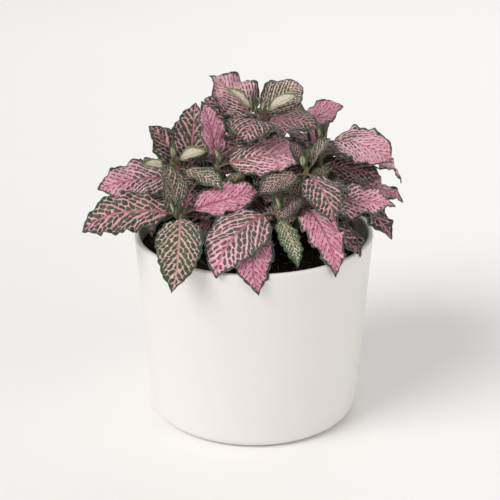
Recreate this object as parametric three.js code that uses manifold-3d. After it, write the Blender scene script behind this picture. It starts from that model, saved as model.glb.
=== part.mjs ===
// A nerve plant (fittonia) in a plain tapered ceramic pot.
//
// The pot stands on z = 0 with its axis on the z axis. Potting soil fills it to just below the rim. Ten
// shoots stand in sockets in the soil, and each carries pairs of leaves. Every leaf, with its own short
// stalk, is one solid that meets its shoot across a small gap. Lengths are millimetres, angles degrees.
// Azimuth 0 points along +x and 90 along +y; rise is the angle above the horizontal.

import * as THREE from "three";
import { mergeVertices } from "three/addons/utils/BufferGeometryUtils.js";
import Module from "manifold-3d";

const wasm = await Module();
wasm.setup();

const pot = {
  height: 108,
  rimRadius: 67.5,
  baseRadius: 60,
  wall: 3.2,
  floor: 7,
  cornerRadius: 6,
  rimRound: 1.4,
  sides: 56,
};
const soil = { belowRim: 9, crown: 3.5, gap: 0.35, lumps: 0.9, sides: 32 };
const stem = { radius: 1.5, sides: 7, steps: 8, depth: 13, knee: 30 };
const socket = { gap: 0.8, height: 40, sides: 8 };
const leaf = {
  gap: 0.35,
  thickness: 0.7,
  stalkLength: 7,
  stalkShare: 0.16,
  stalkHalfWidth: 1.0,
  stalkThickness: 1.9,
  tipHalfWidth: 0.4,
  youngWidth: 14,
  baseTaper: 0.62,
  tipTaper: 0.85,
};

// Where the rows of a leaf's grid lie along its blade, as a share of the blade's length.
const bladeRows = [0, 0.07, 0.2, 0.38, 0.58, 0.78, 0.92, 1];
const leafColumns = 2;

// Each shoot: where it stands in the soil, and where its tip is.
const shoots = {
  crown: { foot: [2, 6], top: [3, 9, 174] },
  left: { foot: [-27, 4], top: [-46, -3, 149] },
  front_left: { foot: [-33, -22], top: [-42, -35, 128] },
  front: { foot: [-6, -27], top: [14, -30, 128] },
  front_right: { foot: [23, -14], top: [29, -20, 151] },
  right: { foot: [36, 4], top: [38, 6, 160] },
  middle: { foot: [-11, -4], top: [-21, -12, 150] },
  back_right: { foot: [20, 32], top: [25, 42, 156] },
  back_left: { foot: [-24, 30], top: [-34, 40, 152] },
  back: { foot: [-1, 44], top: [0, 56, 140] },
};

// The leaves of each shoot: how far up it they sit (0 to 1), their azimuth and rise where they leave it,
// how far they bend down along their length, length, width, turn about the midrib and fold along it.
const leaves = {
  crown: [
    [0.93, 148, 50, 20, 38, 27, -35, 8],
    [0.95, 38, 50, 45, 34, 24, 30, 0],
    [1.0, 185, 48, 10, 22, 8, -30, 22],
    [0.99, 350, 38, 15, 24, 10, 30, 22],
    [0.95, 252, 28, 85, 26, 26, -5, -5],
    [0.92, 326, 32, 50, 37, 24, 22, -5],
    [0.87, 164, 42, 25, 34, 22, -35, 0],
    [0.84, 230, 24, 35, 19, 17, -10, 0],
  ],
  left: [
    [0.76, 74, 76, 12, 40, 23, 0, 8],
    [0.77, 163, 57, 5, 33, 22, -28, 5],
    [0.76, 188, 10, 32, 48, 26, -32, 0],
    [0.87, 315, 8, 28, 32, 15, 12, 8],
    [0.97, 355, 28, 18, 20, 10, 30, 25],
  ],
  front_left: [
    [0.86, 184, 12, 38, 54, 26, -35, 0],
    [0.95, 268, 8, 85, 54, 25, 0, -5],
    [0.8, 17, 20, 18, 44, 21, 35, 8],
    [0.9, 142, 72, 0, 28, 20, 0, 12],
    [0.74, 78, 42, 15, 22, 14, 10, 8],
  ],
  front: [
    [0.86, 230, 12, 72, 56, 33, -12, -4],
    [0.5, 273, 20, 92, 54, 24, 0, -5],
    [1.0, 130, 72, 10, 14, 9, 0, 15],
    [0.97, 294, -8, 50, 36, 12, 0, -8],
  ],
  front_right: [
    [0.52, 296, 20, 100, 57, 21, 5, -5],
    [0.56, 1, 11, 22, 52, 25, 30, 0],
    [0.43, 322, 2, 30, 42, 20, 15, 0],
    [0.94, 298, 5, 70, 37, 22, 5, -5],
    [0.9, 202, 3, 40, 27, 16, -20, 0],
    [0.96, 15, 60, 5, 20, 15, 0, 18],
    [0.97, 140, 62, 15, 16, 12, 0, 10],
    [0.5, 115, 62, 10, 22, 18, 0, 8],
  ],
  right: [
    [0.96, 342, 18, 60, 40, 27, 25, 0],
    [0.84, 6, 15, 72, 54, 20, 10, 0],
    [0.74, 350, 6, 28, 33, 22, 25, 0],
    [0.48, 325, 25, 88, 54, 20, 5, 0],
    [0.28, 300, 18, 45, 45, 21, 0, 0],
    [0.56, 14, 10, 50, 54, 18, 20, 0],
  ],
  middle: [
    [0.95, 6, 20, 25, 52, 28, 28, 0],
    [0.94, 138, 73, 0, 36, 19, 0, 10],
  ],
  back_right: [
    [0.98, 5, 38, 15, 28, 19, 30, 5],
    [0.9, 75, 20, 60, 52, 28, 0, -4],
    [0.6, 30, 15, 65, 54, 28, 0, 0],
    [0.85, 262, 35, 60, 30, 20, 0, 0],
  ],
  back_left: [
    [0.97, 126, 2, 50, 42, 25, 0, 0],
    [0.9, 48, 40, 60, 46, 27, 0, 0],
    [0.65, 186, 12, 50, 50, 26, -10, 0],
    [0.5, 118, 12, 70, 52, 27, 0, -4],
  ],
  back: [
    [0.95, 92, 8, 75, 50, 28, 0, -5],
    [0.9, 15, 15, 40, 42, 24, -15, 0],
  ],
};

const radians = THREE.MathUtils.degToRad;
const youngGreen = { color: 0x8f9a74, roughness: 0.55, metalness: 0 };
const leafPink = { color: 0xb9718a, roughness: 0.55, metalness: 0 };

function finished(name, geometry, look) {
  const mesh = new THREE.Mesh(geometry, new THREE.MeshStandardMaterial(look));
  mesh.name = name;
  return mesh;
}

// A closed geometry as a manifold-3d solid, and back.
function solidOf(geometry) {
  const bare = new THREE.BufferGeometry();
  bare.setAttribute("position", geometry.getAttribute("position"));
  bare.setIndex(geometry.index);
  const merged = mergeVertices(bare, 1e-3);
  return new wasm.Manifold(
    new wasm.Mesh({
      numProp: 3,
      vertProperties: merged.attributes.position.array,
      triVerts: new Uint32Array(merged.index.array),
    }),
  );
}

function geometryOf(solid) {
  const mesh = solid.getMesh();
  const geometry = new THREE.BufferGeometry();
  geometry.setAttribute("position", new THREE.BufferAttribute(mesh.vertProperties, mesh.numProp));
  geometry.setIndex(new THREE.BufferAttribute(mesh.triVerts, 1));
  return geometry;
}

function outerRadius(z) {
  return pot.baseRadius + ((pot.rimRadius - pot.baseRadius) * z) / pot.height;
}

// ---- Pot: a profile turned about the z axis. LatheGeometry turns about y, so it is stood up afterwards.
function turned(profile, sides) {
  const geometry = new THREE.LatheGeometry(profile, sides);
  geometry.rotateX(Math.PI / 2);
  return geometry;
}

function arcPoints(centreR, centreZ, radius, from, to, steps) {
  return Array.from({ length: steps + 1 }, (_, i) => {
    const a = radians(from + ((to - from) * i) / steps);
    return new THREE.Vector2(centreR + radius * Math.cos(a), centreZ + radius * Math.sin(a));
  });
}

function makePot() {
  const top = pot.height;
  const r = pot.rimRound;
  const corner = pot.cornerRadius;
  const floorRadius = outerRadius(pot.floor) - pot.wall;
  const profile = [
    new THREE.Vector2(0, 0),
    ...arcPoints(outerRadius(0) - corner, corner, corner, -90, 0, 4),
    ...arcPoints(pot.rimRadius - r, top - r, r, 0, 90, 2),
    ...arcPoints(pot.rimRadius - pot.wall + r, top - r, r, 90, 180, 2),
    ...arcPoints(floorRadius - corner, pot.floor + corner, corner, 0, -90, 2),
    new THREE.Vector2(0, pot.floor),
  ];
  return finished("pot", turned(profile, pot.sides), { color: 0xf2f0ee, roughness: 0.3, metalness: 0 });
}

// ---- Soil: fills the pot, slightly crowned and lumpy on top, with a socket for each shoot.
function soilTop(radius) {
  const edge = outerRadius(pot.height - soil.belowRim) - pot.wall;
  return pot.height - soil.belowRim + soil.crown * (1 - (radius / edge) ** 2);
}

function makeSoil() {
  const z = pot.height - soil.belowRim;
  const edge = outerRadius(z) - pot.wall - soil.gap;
  const low = pot.floor + soil.gap;
  const lowRadius = outerRadius(pot.floor) - pot.wall - pot.cornerRadius;
  const cornerTop = pot.floor + pot.cornerRadius + 2;
  const cornerTopRadius = outerRadius(pot.floor) - pot.wall - soil.gap;
  const profile = [
    new THREE.Vector2(0, low),
    new THREE.Vector2(lowRadius, low),
    new THREE.Vector2(cornerTopRadius, cornerTop),
    new THREE.Vector2(edge, z),
    ...[0.9, 0.72, 0.5, 0.25, 0].map((share) => new THREE.Vector2(edge * share, soilTop(edge * share))),
  ];
  const geometry = turned(profile, soil.sides);
  const at = geometry.getAttribute("position");
  for (let i = 0; i < at.count; i++) {
    const [x, y, height] = [at.getX(i), at.getY(i), at.getZ(i)];
    if (height > z && Math.hypot(x, y) > 1)
      at.setZ(i, height + soil.lumps * Math.sin(x * 0.31 + 1) * Math.cos(y * 0.27 - 2));
  }
  let solid = solidOf(geometry);
  const radius = stem.radius + socket.gap;
  for (const { foot } of Object.values(shoots)) {
    const hole = new THREE.CylinderGeometry(radius, radius, socket.height, socket.sides);
    hole.rotateX(Math.PI / 2);
    hole.translate(foot[0], foot[1], footHeight(foot) - soil.gap + socket.height / 2);
    solid = solid.subtract(solidOf(hole));
  }
  return finished("soil", geometryOf(solid), { color: 0x1d1814, roughness: 0.95, metalness: 0 });
}

// ---- Shoots: each leaves its socket straight up and leans over towards its tip.
function footHeight(foot) {
  return soilTop(Math.hypot(...foot)) - stem.depth;
}

function stemCurve({ foot, top }) {
  const z = footHeight(foot);
  return new THREE.QuadraticBezierCurve3(
    new THREE.Vector3(...foot, z),
    new THREE.Vector3(...foot, z + stem.depth + stem.knee),
    new THREE.Vector3(...top),
  );
}

function makeStem(name, shoot) {
  const section = new THREE.Shape();
  section.absarc(0, 0, stem.radius, 0, 2 * Math.PI);
  const geometry = new THREE.ExtrudeGeometry(section, {
    steps: stem.steps,
    curveSegments: stem.sides,
    extrudePath: stemCurve(shoot),
  });
  return finished(`${name}_stem`, geometry, { color: 0x7d8a5c, roughness: 0.6, metalness: 0 });
}

// ---- Leaves: a box whose corners are moved onto the leaf's curved blade.

// The blade's half width at a place along it, as a share of its greatest half width.
function bladeShare(s) {
  const { baseTaper, tipTaper } = leaf;
  const widest = baseTaper / (baseTaper + tipTaper);
  return ((s / widest) ** baseTaper) * (((1 - s) / (1 - widest)) ** tipTaper);
}

// The midrib leaves at the rise and bends down at an even rate.
function midrib(l, start, u) {
  const turn = radians(Math.abs(l.droop) < 1 ? 1 : l.droop);
  const from = radians(l.rise);
  const now = from - turn * u;
  const out = (l.length * (Math.sin(from) - Math.sin(now))) / turn;
  const up = (l.length * (Math.cos(now) - Math.cos(from))) / turn;
  const [ca, sa] = [Math.cos(radians(l.azimuth)), Math.sin(radians(l.azimuth))];
  const along = new THREE.Vector3(Math.cos(now) * ca, Math.cos(now) * sa, Math.sin(now));
  const level = new THREE.Vector3(-Math.sin(now) * ca, -Math.sin(now) * sa, Math.cos(now));
  const across = along.clone().cross(level);
  const roll = radians(l.roll);
  return {
    along,
    point: new THREE.Vector3(start.x + out * ca, start.y + out * sa, start.z + up),
    normal: level.clone().multiplyScalar(Math.cos(roll)).addScaledVector(across, Math.sin(roll)),
    right: across.clone().multiplyScalar(Math.cos(roll)).addScaledVector(level, -Math.sin(roll)),
  };
}

// The stalk starts beside its shoot, off to the side it leaves on, a small gap clear of it.
function leafStart(l, shoot) {
  const curve = stemCurve(shoot);
  const tangent = curve.getTangent(l.at);
  const { along } = midrib(l, new THREE.Vector3(), 0);
  const outward = along.clone().addScaledVector(tangent, -along.dot(tangent)).normalize();
  const lean = Math.sqrt(1 - outward.dot(along) ** 2);
  const clear = stem.radius + leaf.gap + (leaf.stalkThickness / 2) * lean;
  return curve.getPoint(l.at).addScaledVector(outward, clear);
}

function makeLeaf(name, shoot, values) {
  const [at, azimuth, rise, droop, length, width, roll, fold] = values;
  const l = { at, azimuth, rise, droop, length, width, roll, fold };
  const start = leafStart(l, shoot);
  const stalk = Math.min(leaf.stalkLength, length * leaf.stalkShare);
  const rows = bladeRows.length;
  const geometry = new THREE.BoxGeometry(1, 2, 1, rows, leafColumns, 1);
  const corners = geometry.getAttribute("position");
  for (let i = 0; i < corners.count; i++) {
    const row = Math.round((corners.getX(i) + 0.5) * rows);
    const v = corners.getY(i);
    const side = corners.getZ(i);
    const blade = row === 0 ? 0 : bladeRows[row - 1];
    const u = row === 0 ? 0 : (stalk + blade * (length - stalk)) / length;
    const onStalk = row < 2;
    const half = onStalk
      ? leaf.stalkHalfWidth
      : Math.max(leaf.tipHalfWidth, (width / 2) * bladeShare(blade));
    const thickness = onStalk ? leaf.stalkThickness : leaf.thickness;
    const { point, normal, right } = midrib(l, start, u);
    const lift = onStalk ? 0 : Math.abs(v) * half * Math.sin(radians(fold));
    point.addScaledVector(right, -v * half * Math.cos(radians(fold)));
    point.addScaledVector(normal, lift + side * thickness);
    corners.setXYZ(i, point.x, point.y, point.z);
  }
  return finished(name, geometry, width < leaf.youngWidth ? youngGreen : leafPink);
}

const plant = new THREE.Group();
plant.add(makePot(), makeSoil());
for (const [name, shoot] of Object.entries(shoots)) plant.add(makeStem(name, shoot));
for (const [name, list] of Object.entries(leaves))
  for (const [i, values] of list.entries())
    plant.add(makeLeaf(`${name}_leaf_${i + 1}`, shoots[name], values));

export default plant;
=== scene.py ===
import math
import random

import bmesh
import bpy
from mathutils import Matrix, Vector, noise
from mathutils.bvhtree import BVHTree


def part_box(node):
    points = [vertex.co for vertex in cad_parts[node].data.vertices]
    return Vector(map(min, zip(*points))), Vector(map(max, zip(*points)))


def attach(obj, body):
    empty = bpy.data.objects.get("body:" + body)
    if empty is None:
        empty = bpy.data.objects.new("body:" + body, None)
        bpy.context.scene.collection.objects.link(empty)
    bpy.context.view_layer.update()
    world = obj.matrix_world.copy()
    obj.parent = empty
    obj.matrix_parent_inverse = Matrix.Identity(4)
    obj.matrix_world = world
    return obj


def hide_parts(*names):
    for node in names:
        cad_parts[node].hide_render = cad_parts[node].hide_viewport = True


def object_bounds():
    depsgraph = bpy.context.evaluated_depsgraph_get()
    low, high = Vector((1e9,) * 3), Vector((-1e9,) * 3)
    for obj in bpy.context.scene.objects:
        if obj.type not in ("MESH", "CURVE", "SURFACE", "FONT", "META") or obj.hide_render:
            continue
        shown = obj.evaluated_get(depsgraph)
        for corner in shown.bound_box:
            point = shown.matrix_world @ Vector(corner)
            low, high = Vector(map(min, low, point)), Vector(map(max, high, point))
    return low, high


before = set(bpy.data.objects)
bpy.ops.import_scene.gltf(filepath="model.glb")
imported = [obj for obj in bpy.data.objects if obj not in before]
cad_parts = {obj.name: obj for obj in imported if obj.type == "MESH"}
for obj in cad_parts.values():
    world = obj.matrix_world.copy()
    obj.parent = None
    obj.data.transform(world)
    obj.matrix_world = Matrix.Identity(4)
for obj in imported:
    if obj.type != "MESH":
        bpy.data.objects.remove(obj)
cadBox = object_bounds()
mm = 0.001
print("frame loaded:", len(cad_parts), "nodes")


# camera, light and floor
view = {
    "lens": 100.8,  # mm
    "sensor": 36,
    "distance": 0.792,  # from the middle of the pot's mouth
    "rise": 21.1,  # degrees above the mouth
    "tilt": 22.0,  # degrees down
    "aside": -2.1 * mm,
    "mouth": 0.5 * mm,  # above the top of the pot
    "farthest": 20,
}
scene = bpy.context.scene
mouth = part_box("pot")[1].z + view["mouth"]
rise = math.radians(view["rise"])
cameraData = bpy.data.cameras.new("camera")
cameraData.lens = view["lens"]
cameraData.sensor_width = view["sensor"]
cameraData.clip_end = view["farthest"]
camera = bpy.data.objects.new("camera", cameraData)
camera.location = (
    view["aside"],
    -view["distance"] * math.cos(rise),
    mouth + view["distance"] * math.sin(rise),
)
camera.rotation_euler = (math.radians(90 - view["tilt"]), 0, 0)
scene.collection.objects.link(camera)
scene.camera = camera
scene.view_settings.view_transform = "Standard"

lamps = {
    "key": {
        "kind": "SUN", "at": (-0.62, -0.42, 0.75), "size": 0.6,
        "power": 1.72, "color": (1.0, 0.985, 0.965),
    },
    "fill": {
        "kind": "AREA", "at": (1.0, -0.6, 0.5), "size": 0.9,
        "power": 2.2, "color": (1.0, 0.97, 0.93),
    },
    "back": {
        "kind": "AREA", "at": (0.3, 1.0, 0.9), "size": 0.9,
        "power": 1.9, "color": (1.0, 1.0, 1.0),
    },
}
lampGoal = Vector((0, 0, 0.1))
skyLight = {"color": (0.98, 0.985, 1.0, 1), "strength": 0.5}
for lampName, lamp in lamps.items():
    data = bpy.data.lights.new(lampName, lamp["kind"])
    if lamp["kind"] == "SUN":
        data.angle = lamp["size"]
    else:
        data.size = lamp["size"]
    data.energy = lamp["power"]
    data.color = lamp["color"]
    lampObject = bpy.data.objects.new(lampName, data)
    lampObject.location = lamp["at"]
    aim = lampGoal - Vector(lamp["at"])
    lampObject.rotation_euler = aim.to_track_quat("-Z", "Y").to_euler()
    scene.collection.objects.link(lampObject)
sky = bpy.data.worlds.new("sky")
sky.use_nodes = True
background = sky.node_tree.nodes["Background"]
background.inputs["Color"].default_value = skyLight["color"]
background.inputs["Strength"].default_value = skyLight["strength"]
scene.world = sky


# small helpers for the material begun last: numbers or sockets go in, a socket comes out
def paint(code):
    # a colour picked in the usual six letters, as the renderer reads it
    parts = [int(code[i : i + 2], 16) / 255 for i in (0, 2, 4)]
    return tuple(c / 12.92 if c < 0.04045 else ((c + 0.055) / 1.055) ** 2.4 for c in parts) + (1,)


def plug(value, socket):
    if isinstance(value, bpy.types.NodeSocket):
        tree.links.new(value, socket)
    else:
        socket.default_value = value


def fill(node, **values):
    for name, value in values.items():
        plug(value, node.inputs[name.replace("_", " ")])


def newNode(kind, **values):
    node = tree.nodes.new("ShaderNode" + kind)
    fill(node, **values)
    return node


def calc(operation, *values):
    node = newNode("Math")
    node.operation = operation
    for value, socket in zip(values, node.inputs):
        plug(value, socket)
    return node.outputs[0]


def times(first, second):
    return calc("MULTIPLY", first, second)


def timesPlus(value, factor, more):
    return calc("MULTIPLY_ADD", value, factor, more)


def minus(first, second):
    return calc("SUBTRACT", first, second)


def unsigned(value):
    return calc("ABSOLUTE", value)


def blend(amount, first, second, way="MIX"):
    node = newNode("Mix")
    node.data_type = "RGBA"
    node.blend_type = way
    fill(node, Factor=amount, A=first, B=second)
    return node.outputs["Result"]


def ease(value, low, high, bottom=0.0, top=1.0):
    node = newNode("MapRange")
    node.interpolation_type = "SMOOTHSTEP"
    fill(node, Value=value, From_Min=low, From_Max=high, To_Min=bottom, To_Max=top)
    return node.outputs["Result"]


def join(x, y, z=0.0):
    node = newNode("CombineXYZ")
    for value, socket in zip((x, y, z), node.inputs):
        plug(value, socket)
    return node.outputs[0]


def split(vector):
    node = newNode("SeparateXYZ")
    plug(vector, node.inputs[0])
    return node.outputs[0], node.outputs[1], node.outputs[2]


def cloud(vector, scale, detail, rough=0.5):
    node = newNode("TexNoise", Vector=vector, Scale=scale, Detail=detail, Roughness=rough)
    return node.outputs["Fac"], node.outputs["Color"]


def chance(x, y):
    node = newNode("TexWhiteNoise")
    node.noise_dimensions = "2D"
    plug(join(x, y), node.inputs["Vector"])
    return node.outputs["Value"]


def objectPlace():
    return newNode("TexCoord").outputs["Object"]


def bump(height, distance, strength):
    node = newNode("Bump", Height=height, Distance=distance, Strength=strength)
    return node.outputs["Normal"]


def material(name, **settings):
    global tree
    made = bpy.data.materials.new(name)
    made.use_nodes = True
    tree = made.node_tree
    shader = tree.nodes["Principled BSDF"]
    fill(shader, **settings)
    return made, shader


# small helpers for shapes
def pieceFrom(name, bm, *materials, smooth=True):
    mesh = bpy.data.meshes.new(name)
    bm.to_mesh(mesh)
    bm.free()
    for made in materials:
        mesh.materials.append(made)
    for face in mesh.polygons:
        face.use_smooth = smooth
    piece = bpy.data.objects.new(name, mesh)
    scene.collection.objects.link(piece)
    return piece


def turned(profile, steps):
    # a radius and height line spun about the z axis
    bm = bmesh.new()
    corners = [bm.verts.new((r, 0, z)) for r, z in profile]
    edges = [bm.edges.new(pair) for pair in zip(corners, corners[1:])]
    bmesh.ops.spin(
        bm, geom=corners + edges, cent=(0, 0, 0), axis=(0, 0, 1),
        angle=2 * math.pi, steps=steps, use_merge=True,
    )
    bmesh.ops.remove_doubles(bm, verts=bm.verts, dist=0.005 * mm)
    bmesh.ops.recalc_face_normals(bm, faces=bm.faces)
    return bm


def tube(bm, path, widths, sides):
    # a round tube along a path of points, closed at both ends
    heading = path[1] - path[0]
    turn = Vector((0, 0, 1)).rotation_difference(heading).to_matrix().to_4x4()
    ring = edges = back = None
    for i, (point, width) in enumerate(zip(path, widths)):
        ahead = path[min(i + 1, len(path) - 1)] - path[max(i - 1, 0)]
        turn = heading.rotation_difference(ahead).to_matrix().to_4x4() @ turn
        heading = ahead
        at = Matrix.Translation(point) @ turn @ Matrix.Scale(width, 4)
        if ring is None:
            made = bmesh.ops.create_circle(bm, cap_ends=True, segments=sides, radius=1, matrix=at)
            ring = made["verts"]
            edges = list(ring[0].link_faces[0].edges)
        else:
            new = bmesh.ops.extrude_edge_only(bm, edges=edges)["geom"]
            ring = [v for v in new if isinstance(v, bmesh.types.BMVert)]
            edges = [
                e for e in new
                if isinstance(e, bmesh.types.BMEdge) and all(v in ring for v in e.verts)
            ]
            for vert in ring:
                vert.co = at @ (back @ vert.co)
        back = at.inverted()
    bmesh.ops.edgeloop_fill(bm, edges=edges)


floorLook = {"tones": ("FAF8F5", "FDFCFA"), "roughness": 0.6, "half": 4, "below": 0.2 * mm}
floorMaterial, shader = material("paleFloor", Roughness=floorLook["roughness"])
grain, _ = cloud(objectPlace(), 3.0, 4)
fill(shader, Base_Color=blend(grain, *map(paint, floorLook["tones"])))
bm = bmesh.new()
bmesh.ops.create_grid(bm, x_segments=1, y_segments=1, size=floorLook["half"])
floor = pieceFrom("floor", bm, floorMaterial)
floor.location.z = -floorLook["below"]
print("camera, lamps and floor set")


# pot: a plain satin white cover pot
potShape = {
    "height": 108 * mm,
    "rim": 67.5 * mm,
    "base": 60 * mm,
    "wall": 3.2 * mm,
    "inside": 7 * mm,  # height of its floor
    "corner": 6 * mm,
    "cornerSteps": 10,
    "foot": 8 * mm,  # where the corner meets the flat foot
    "rimRound": 1.4 * mm,
    "rimSteps": 6,
    "wallRings": 8,
    "steps": 160,
}
potLook = {
    "glaze": ("E9E5E1", "EEEBE8"),
    "speck": "DDD8D2",
    "roughness": (0.32, 0.44),
    "coat": 0.12,
    "coatRoughness": 0.3,
    "relief": 0.25 * mm,
}


def potRadius(z):
    return potShape["base"] + (potShape["rim"] - potShape["base"]) * z / potShape["height"]


def arc(r, z, size, start, end, steps):
    angles = [math.radians(start + (end - start) * i / steps) for i in range(steps + 1)]
    return [(r + size * math.cos(a), z + size * math.sin(a)) for a in angles]


def glazeMaterial():
    coat = {"Coat_Weight": potLook["coat"], "Coat_Roughness": potLook["coatRoughness"]}
    glaze, shader = material("potGlaze", Roughness=0.38, IOR=1.45, **coat)
    at = objectPlace()
    soft, _ = cloud(at, 18, 4)
    fine, _ = cloud(at, 420, 3)
    speck, _ = cloud(at, 900, 2)
    tone = blend(soft, *map(paint, potLook["glaze"]))
    tone = blend(ease(speck, 0.70, 0.78, 0.0, 0.35), tone, paint(potLook["speck"]))
    rough = ease(soft, 0.2, 0.8, *potLook["roughness"])
    height = calc("ADD", times(soft, 2.0), times(fine, 0.25))
    normal = bump(height, potLook["relief"], 0.35)
    fill(shader, Base_Color=tone, Roughness=rough, Normal=normal)
    return glaze


def makePot():
    top, lip, corner, inside = (potShape[k] for k in ("height", "rimRound", "corner", "inside"))
    wall, rings = potShape["wall"], potShape["wallRings"]
    cornerSteps, rimSteps = potShape["cornerSteps"], potShape["rimSteps"]
    inner = potShape["rim"] - wall
    line = [(0, 0), (potShape["base"] - corner - potShape["foot"], 0)]
    line += arc(potRadius(0) - corner, corner, corner, -90, 0, cornerSteps)
    line += [(potRadius(top * i / rings), top * i / rings) for i in range(1, rings)]
    line += arc(potShape["rim"] - lip, top - lip, lip, 2, 90, rimSteps)
    line += arc(inner + lip, top - lip, lip, 90, 178, rimSteps)
    line += [(potRadius(top * i / rings) - wall, top * i / rings) for i in range(rings - 1, 1, -1)]
    line += arc(potRadius(inside) - wall - corner, inside + corner, corner, 0, -90, rimSteps)
    line += [(0, inside)]
    pot = pieceFrom("potShell", turned(line, potShape["steps"]), glazeMaterial())
    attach(pot, "root")
    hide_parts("pot")


makePot()
print("pot made")


# soil: dark moist potting mix with crumbs and moss threads
soilShape = {
    "belowRim": 9 * mm,
    "crown": 3.5 * mm,
    "gap": 0.3 * mm,  # to the pot
    "rings": 46,
    "steps": 150,
    "lumps": 2.4 * mm,
    "bare": 2 * mm,  # no crumbs or threads this near the pot
    "seed": 11,
}
crumbShape = {
    "count": 620,
    "size": (0.45, 1.5),  # mm, the least and how much the largest adds
    "flat": ((0.5, 1.0), (0.4, 0.9)),  # its other two sides, as shares of its length
    "dent": 0.35,
}
mossShape = {
    "count": 420,
    "points": 5,
    "step": (1.0, 2.2),  # mm
    "bend": 0.7,
    "width": (0.12, 0.24),  # mm
    "sides": 4,
}
soilLook = {
    "mix": ("0F0C0A", "3E2F24"),
    "damp": "2E3018",
    "specular": 0.15,
    "relief": 1.6 * mm,
    "moss": ("5A4E30", "75833F"),
}


def soilTop(r):
    edge = potRadius(potShape["height"] - soilShape["belowRim"]) - potShape["wall"]
    return potShape["height"] - soilShape["belowRim"] + soilShape["crown"] * (1 - (r / edge) ** 2)


def soilHeight(x, y):
    at = Vector((x, y, 0)) / mm
    rough = noise.fractal(at * 0.11, 0.8, 2.2, 3) * 0.5
    rough += noise.fractal(at * 0.45, 0.6, 2.1, 3) * 0.28
    return soilTop(math.hypot(x, y)) + soilShape["lumps"] * (rough - 0.1)


def mixMaterial():
    mix, shader = material("pottingMix", Roughness=0.95, Specular_IOR_Level=soilLook["specular"])
    at = objectPlace()
    broad, _ = cloud(at, 60, 5, 0.6)
    fine, _ = cloud(at, 420, 6, 0.7)
    tone = blend(ease(fine, 0.35, 0.7), *map(paint, soilLook["mix"]))
    tone = blend(ease(broad, 0.5, 0.72, 0.0, 0.55), tone, paint(soilLook["damp"]))
    normal = bump(calc("ADD", fine, broad), soilLook["relief"], 0.9)
    fill(shader, Base_Color=tone, Normal=normal)
    return mix


def mossMaterial():
    moss, shader = material("mossThread", Roughness=0.8)
    tint, _ = cloud(objectPlace(), 90, 2)
    fill(shader, Base_Color=blend(ease(tint, 0.4, 0.6), *map(paint, soilLook["moss"])))
    return moss


def makeSoilBed(mix):
    top, gap, wall = potShape["height"] - soilShape["belowRim"], soilShape["gap"], potShape["wall"]
    inside, corner = potShape["inside"] + gap, potShape["corner"]
    edge = potRadius(top) - wall - gap
    line = [(0, inside), (potRadius(inside) - wall - corner, inside)]
    line += [(potRadius(inside) - wall - 2 * gap, inside + corner + 2 * mm), (edge, top - 3 * mm)]
    rings = soilShape["rings"]
    line += [(edge * (rings - i) / rings, top) for i in range(rings + 1)]
    bm = turned(line, soilShape["steps"])
    for vert in bm.verts:
        if vert.co.z > top - 0.1 * mm:
            vert.co.z = soilHeight(vert.co.x, vert.co.y)
    soil = pieceFrom("soilBed", bm, mix)
    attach(soil, "root")
    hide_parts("soil")
    return edge - soilShape["bare"]


def scattered(reach):
    r, a = reach * math.sqrt(random.random()), random.uniform(0, 2 * math.pi)
    return r * math.cos(a), r * math.sin(a)


def makeCrumbs(mix, reach):
    bm = bmesh.new()
    least, more = crumbShape["size"]
    for i in range(crumbShape["count"]):
        x, y = scattered(reach)
        size = mm * (least + more * random.random() ** 3)
        turn = Matrix.Rotation(random.uniform(0, 6.28), 4, "Z")
        turn = turn @ Matrix.Rotation(random.uniform(0, 6.28), 4, "X")
        flat = [size * random.uniform(*span) for span in crumbShape["flat"]]
        lift = Matrix.Translation((x, y, soilHeight(x, y) + size * 0.25))
        made = bmesh.ops.create_icosphere(
            bm, subdivisions=1, radius=1,
            matrix=lift @ turn @ Matrix.Diagonal((size, *flat, 1)),
        )
        for vert in made["verts"]:
            vert.co += noise.noise_vector(vert.co / mm * 1.7) * size * crumbShape["dent"]
    crumbs = pieceFrom("soilCrumbs", bm, mix, smooth=False)
    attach(crumbs, "root")


def makeMoss(moss, reach):
    bm = bmesh.new()
    for i in range(mossShape["count"]):
        at = Vector((*scattered(reach), 0))
        heading = random.uniform(0, 2 * math.pi)
        path = []
        for step in range(mossShape["points"]):
            # each thread arches a little over the soil
            arch = 1.3 * math.sin(step * 0.78)
            at.z = soilHeight(at.x, at.y) + mm * (0.1 + arch * random.random())
            path.append(at.copy())
            heading += random.uniform(-mossShape["bend"], mossShape["bend"])
            ahead = Vector((math.cos(heading), math.sin(heading), 0))
            at += ahead * mm * random.uniform(*mossShape["step"])
            if at.xy.length > reach:
                break
        if len(path) > 2:
            width = mm * random.uniform(*mossShape["width"])
            widths = [width * (1 - 0.12 * k) for k in range(len(path))]
            tube(bm, path, widths, mossShape["sides"])
    bmesh.ops.recalc_face_normals(bm, faces=bm.faces)
    threads = pieceFrom("mossThreads", bm, moss)
    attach(threads, "root")


random.seed(soilShape["seed"])
pottingMix = mixMaterial()
reach = makeSoilBed(pottingMix)
makeCrumbs(pottingMix, reach)
makeMoss(mossMaterial(), reach)
print("soil made")


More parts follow.
